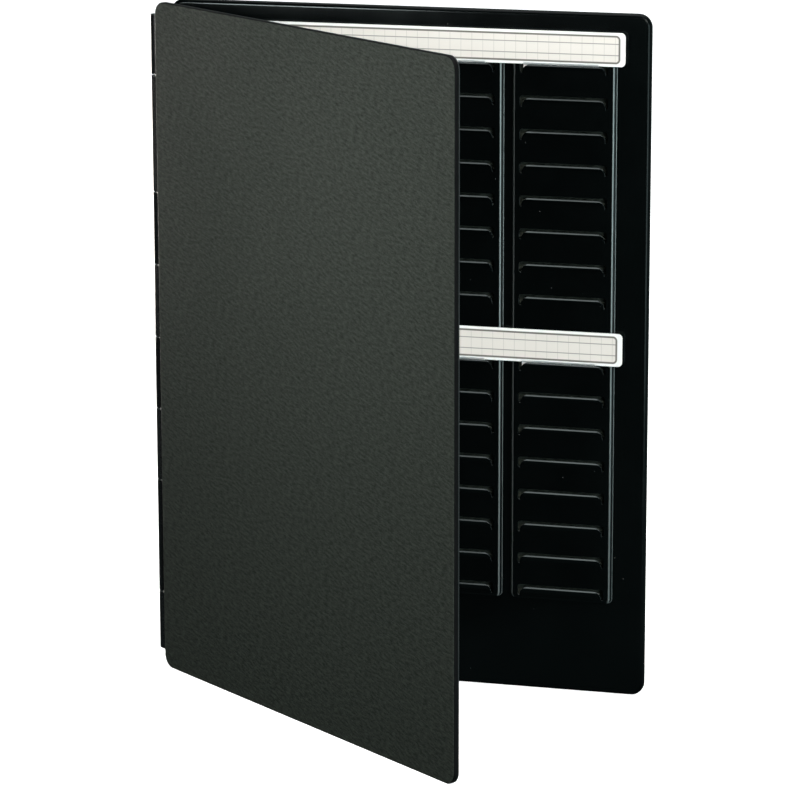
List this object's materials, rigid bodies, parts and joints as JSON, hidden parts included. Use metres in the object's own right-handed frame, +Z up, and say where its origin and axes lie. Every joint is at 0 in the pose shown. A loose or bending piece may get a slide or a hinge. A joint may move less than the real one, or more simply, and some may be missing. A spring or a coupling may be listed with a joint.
{
  "type": "folding card index",
  "caption": "Book-like folding index: a grained cover hinged by a pin to a leaf with raised columns of slotted card pockets and printed title strips.",
  "frame": {"origin": "on the floor under the middle of the half-open object's bounding box", "axes": "+Z up along the leaves and the hinge pin; +Y towards the back leaf's rear face, with the cover swinging out towards -Y; +X from the hinge to the free edge of the back leaf"},
  "size_m": [0.2308, 0.149, 0.312],
  "materials": {
    "grained_board": "fine grain, matt, dark greenish grey",
    "gloss_sheet": "gloss black formed sheet",
    "liner_sheet": "semi-gloss black sheet",
    "hinge_plastic": "satin black",
    "pin_steel": "drawn bright steel",
    "strip_card": "white card with a printed ruled grid"
  },
  "bodies": {
    "back_leaf": {"back_board": "grained_board", "slot_panel": "gloss_sheet", "back_hinge_strip": "hinge_plastic", "hinge_pin": "pin_steel", "lower_title_strip": "strip_card", "upper_title_strip": "strip_card"},
    "cover": {"cover_board": "grained_board", "cover_liner": "liner_sheet", "cover_hinge_strip": "hinge_plastic"}
  },
  "joints": [
    {"name": "cover_hinge", "type": "hinge", "parent": "back_leaf", "child": "cover", "pos_m": [-0.1126, 0.06951, 0], "axis": [0, 0, -1], "range_deg": [-38, 142]}
  ]
}
